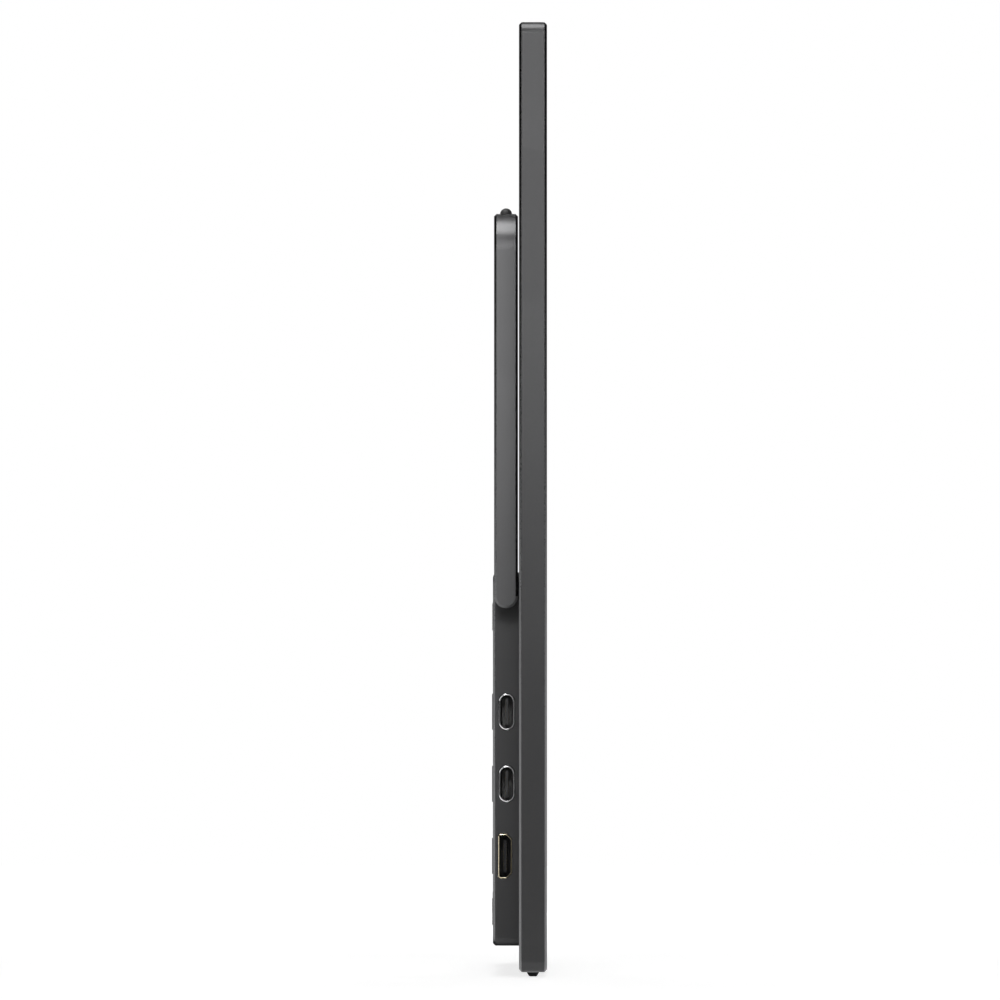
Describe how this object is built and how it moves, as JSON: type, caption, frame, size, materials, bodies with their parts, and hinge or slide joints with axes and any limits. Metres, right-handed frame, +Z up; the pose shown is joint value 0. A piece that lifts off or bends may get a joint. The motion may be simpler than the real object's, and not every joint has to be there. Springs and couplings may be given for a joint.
{
  "type": "portable monitor",
  "caption": "Slim portable monitor: a flat display slab, a rear electronics housing with sockets on one side and keys on the other, and a U-shaped stand that swings out behind.",
  "frame": {"origin": "middle of the box in X and Y, at the underside of the bottom feet", "axes": "+X towards the viewer's right as they face the screen, +Y away from the viewer to the rear, +Z up along the screen; the screen faces -Y"},
  "size_m": [0.356, 0.0138, 0.2389],
  "materials": {
    "slab_metal": "anodised dark grey, satin",
    "housing_plastic": "fine-grained dark grey, satin",
    "stand_metal": "anodised dark grey, satin",
    "bezel_plastic": "black, fine texture",
    "screen_glass": "black anti-glare coated glass",
    "film_plastic": "translucent milky film",
    "guide_acrylic": "clear acrylic",
    "reflector_film": "white film",
    "lamp_strip": "yellow lamps on a white strip",
    "tray_metal": "plain sheet",
    "circuit_board": "green solder mask",
    "copper_film": "amber film",
    "black_rubber": "matte black rubber",
    "chip_plastic": "black moulded plastic",
    "spreader_metal": "plain aluminium",
    "socket_steel": "nickel-plated steel",
    "socket_gold": "gold-flashed shell",
    "socket_plastic": "black moulded plastic",
    "switch_metal": "tinned steel",
    "bracket_steel": "zinc-plated steel",
    "shaft_steel": "plain steel",
    "light_pipe": "clear acrylic",
    "key_plastic": "dark grey, satin",
    "membrane_film": "grey film",
    "foam": "black closed-cell foam",
    "lead_plastic": "red insulation",
    "nut_brass": "plain brass",
    "screw_steel": "black-oxide steel"
  },
  "bodies": {
    "chassis": {"display_shell": "slab_metal", "rear_cover": "housing_plastic", "front_bezel": "bezel_plastic", "lcd_glass": "screen_glass", "optical_films": "film_plastic", "light_guide": "guide_acrylic", "reflector_sheet": "reflector_film", "led_strip": "lamp_strip", "screen_tray": "tray_metal", "driver_board": "circuit_board", "drive_films": "copper_film", "display_cable": "copper_film", "bottom_feet": "black_rubber", "main_board": "circuit_board", "key_board": "circuit_board", "board_chips": "chip_plastic", "heat_spreader": "spreader_metal", "usb_c_shell_upper": "socket_steel", "usb_c_shell_lower": "socket_steel", "usb_c_tongues": "socket_plastic", "mini_hdmi_shell": "socket_gold", "mini_hdmi_tongue": "socket_plastic", "headphone_jack": "socket_plastic", "tact_switches": "switch_metal", "rocker_bracket": "bracket_steel", "rocker_pin": "shaft_steel", "status_light": "light_pipe", "speaker_left": "chip_plastic", "speaker_right": "chip_plastic", "speaker_membranes": "membrane_film", "speaker_gaskets": "foam", "speaker_leads": "lead_plastic", "vesa_straps": "bracket_steel", "vesa_nuts": "nut_brass", "cover_standoffs": "nut_brass", "cover_screws": "screw_steel", "board_screws": "shaft_steel", "hinge_bracket_left": "bracket_steel", "hinge_bracket_right": "bracket_steel", "bracket_screws": "shaft_steel"},
    "stand": {"stand_frame": "stand_metal", "stand_pads": "black_rubber", "hinge_shaft_left": "shaft_steel", "hinge_shaft_right": "shaft_steel", "hinge_washers": "bracket_steel", "hinge_nuts": "shaft_steel"},
    "power_key": {"power_button": "key_plastic"},
    "rocker_key": {"menu_rocker": "key_plastic"}
  },
  "joints": [
    {"name": "stand_hinge", "type": "hinge", "parent": "chassis", "child": "stand", "pos_m": [0, 0.00337, 0.0953], "axis": [-1, 0, 0], "range_deg": [0, 160]},
    {"name": "power_press", "type": "slide", "parent": "chassis", "child": "power_key", "axis": [-1, 0, 0], "range_m": [0, 0.00035], "stiffness_N_per_m": 3000, "springref_m": -0.0002},
    {"name": "rocker_tip", "type": "hinge", "parent": "chassis", "child": "rocker_key", "pos_m": [0.135, 0.00318, 0.05], "axis": [0, 1, 0], "range_deg": [-2, 2], "stiffness_Nm_per_rad": 0.2}
  ]
}
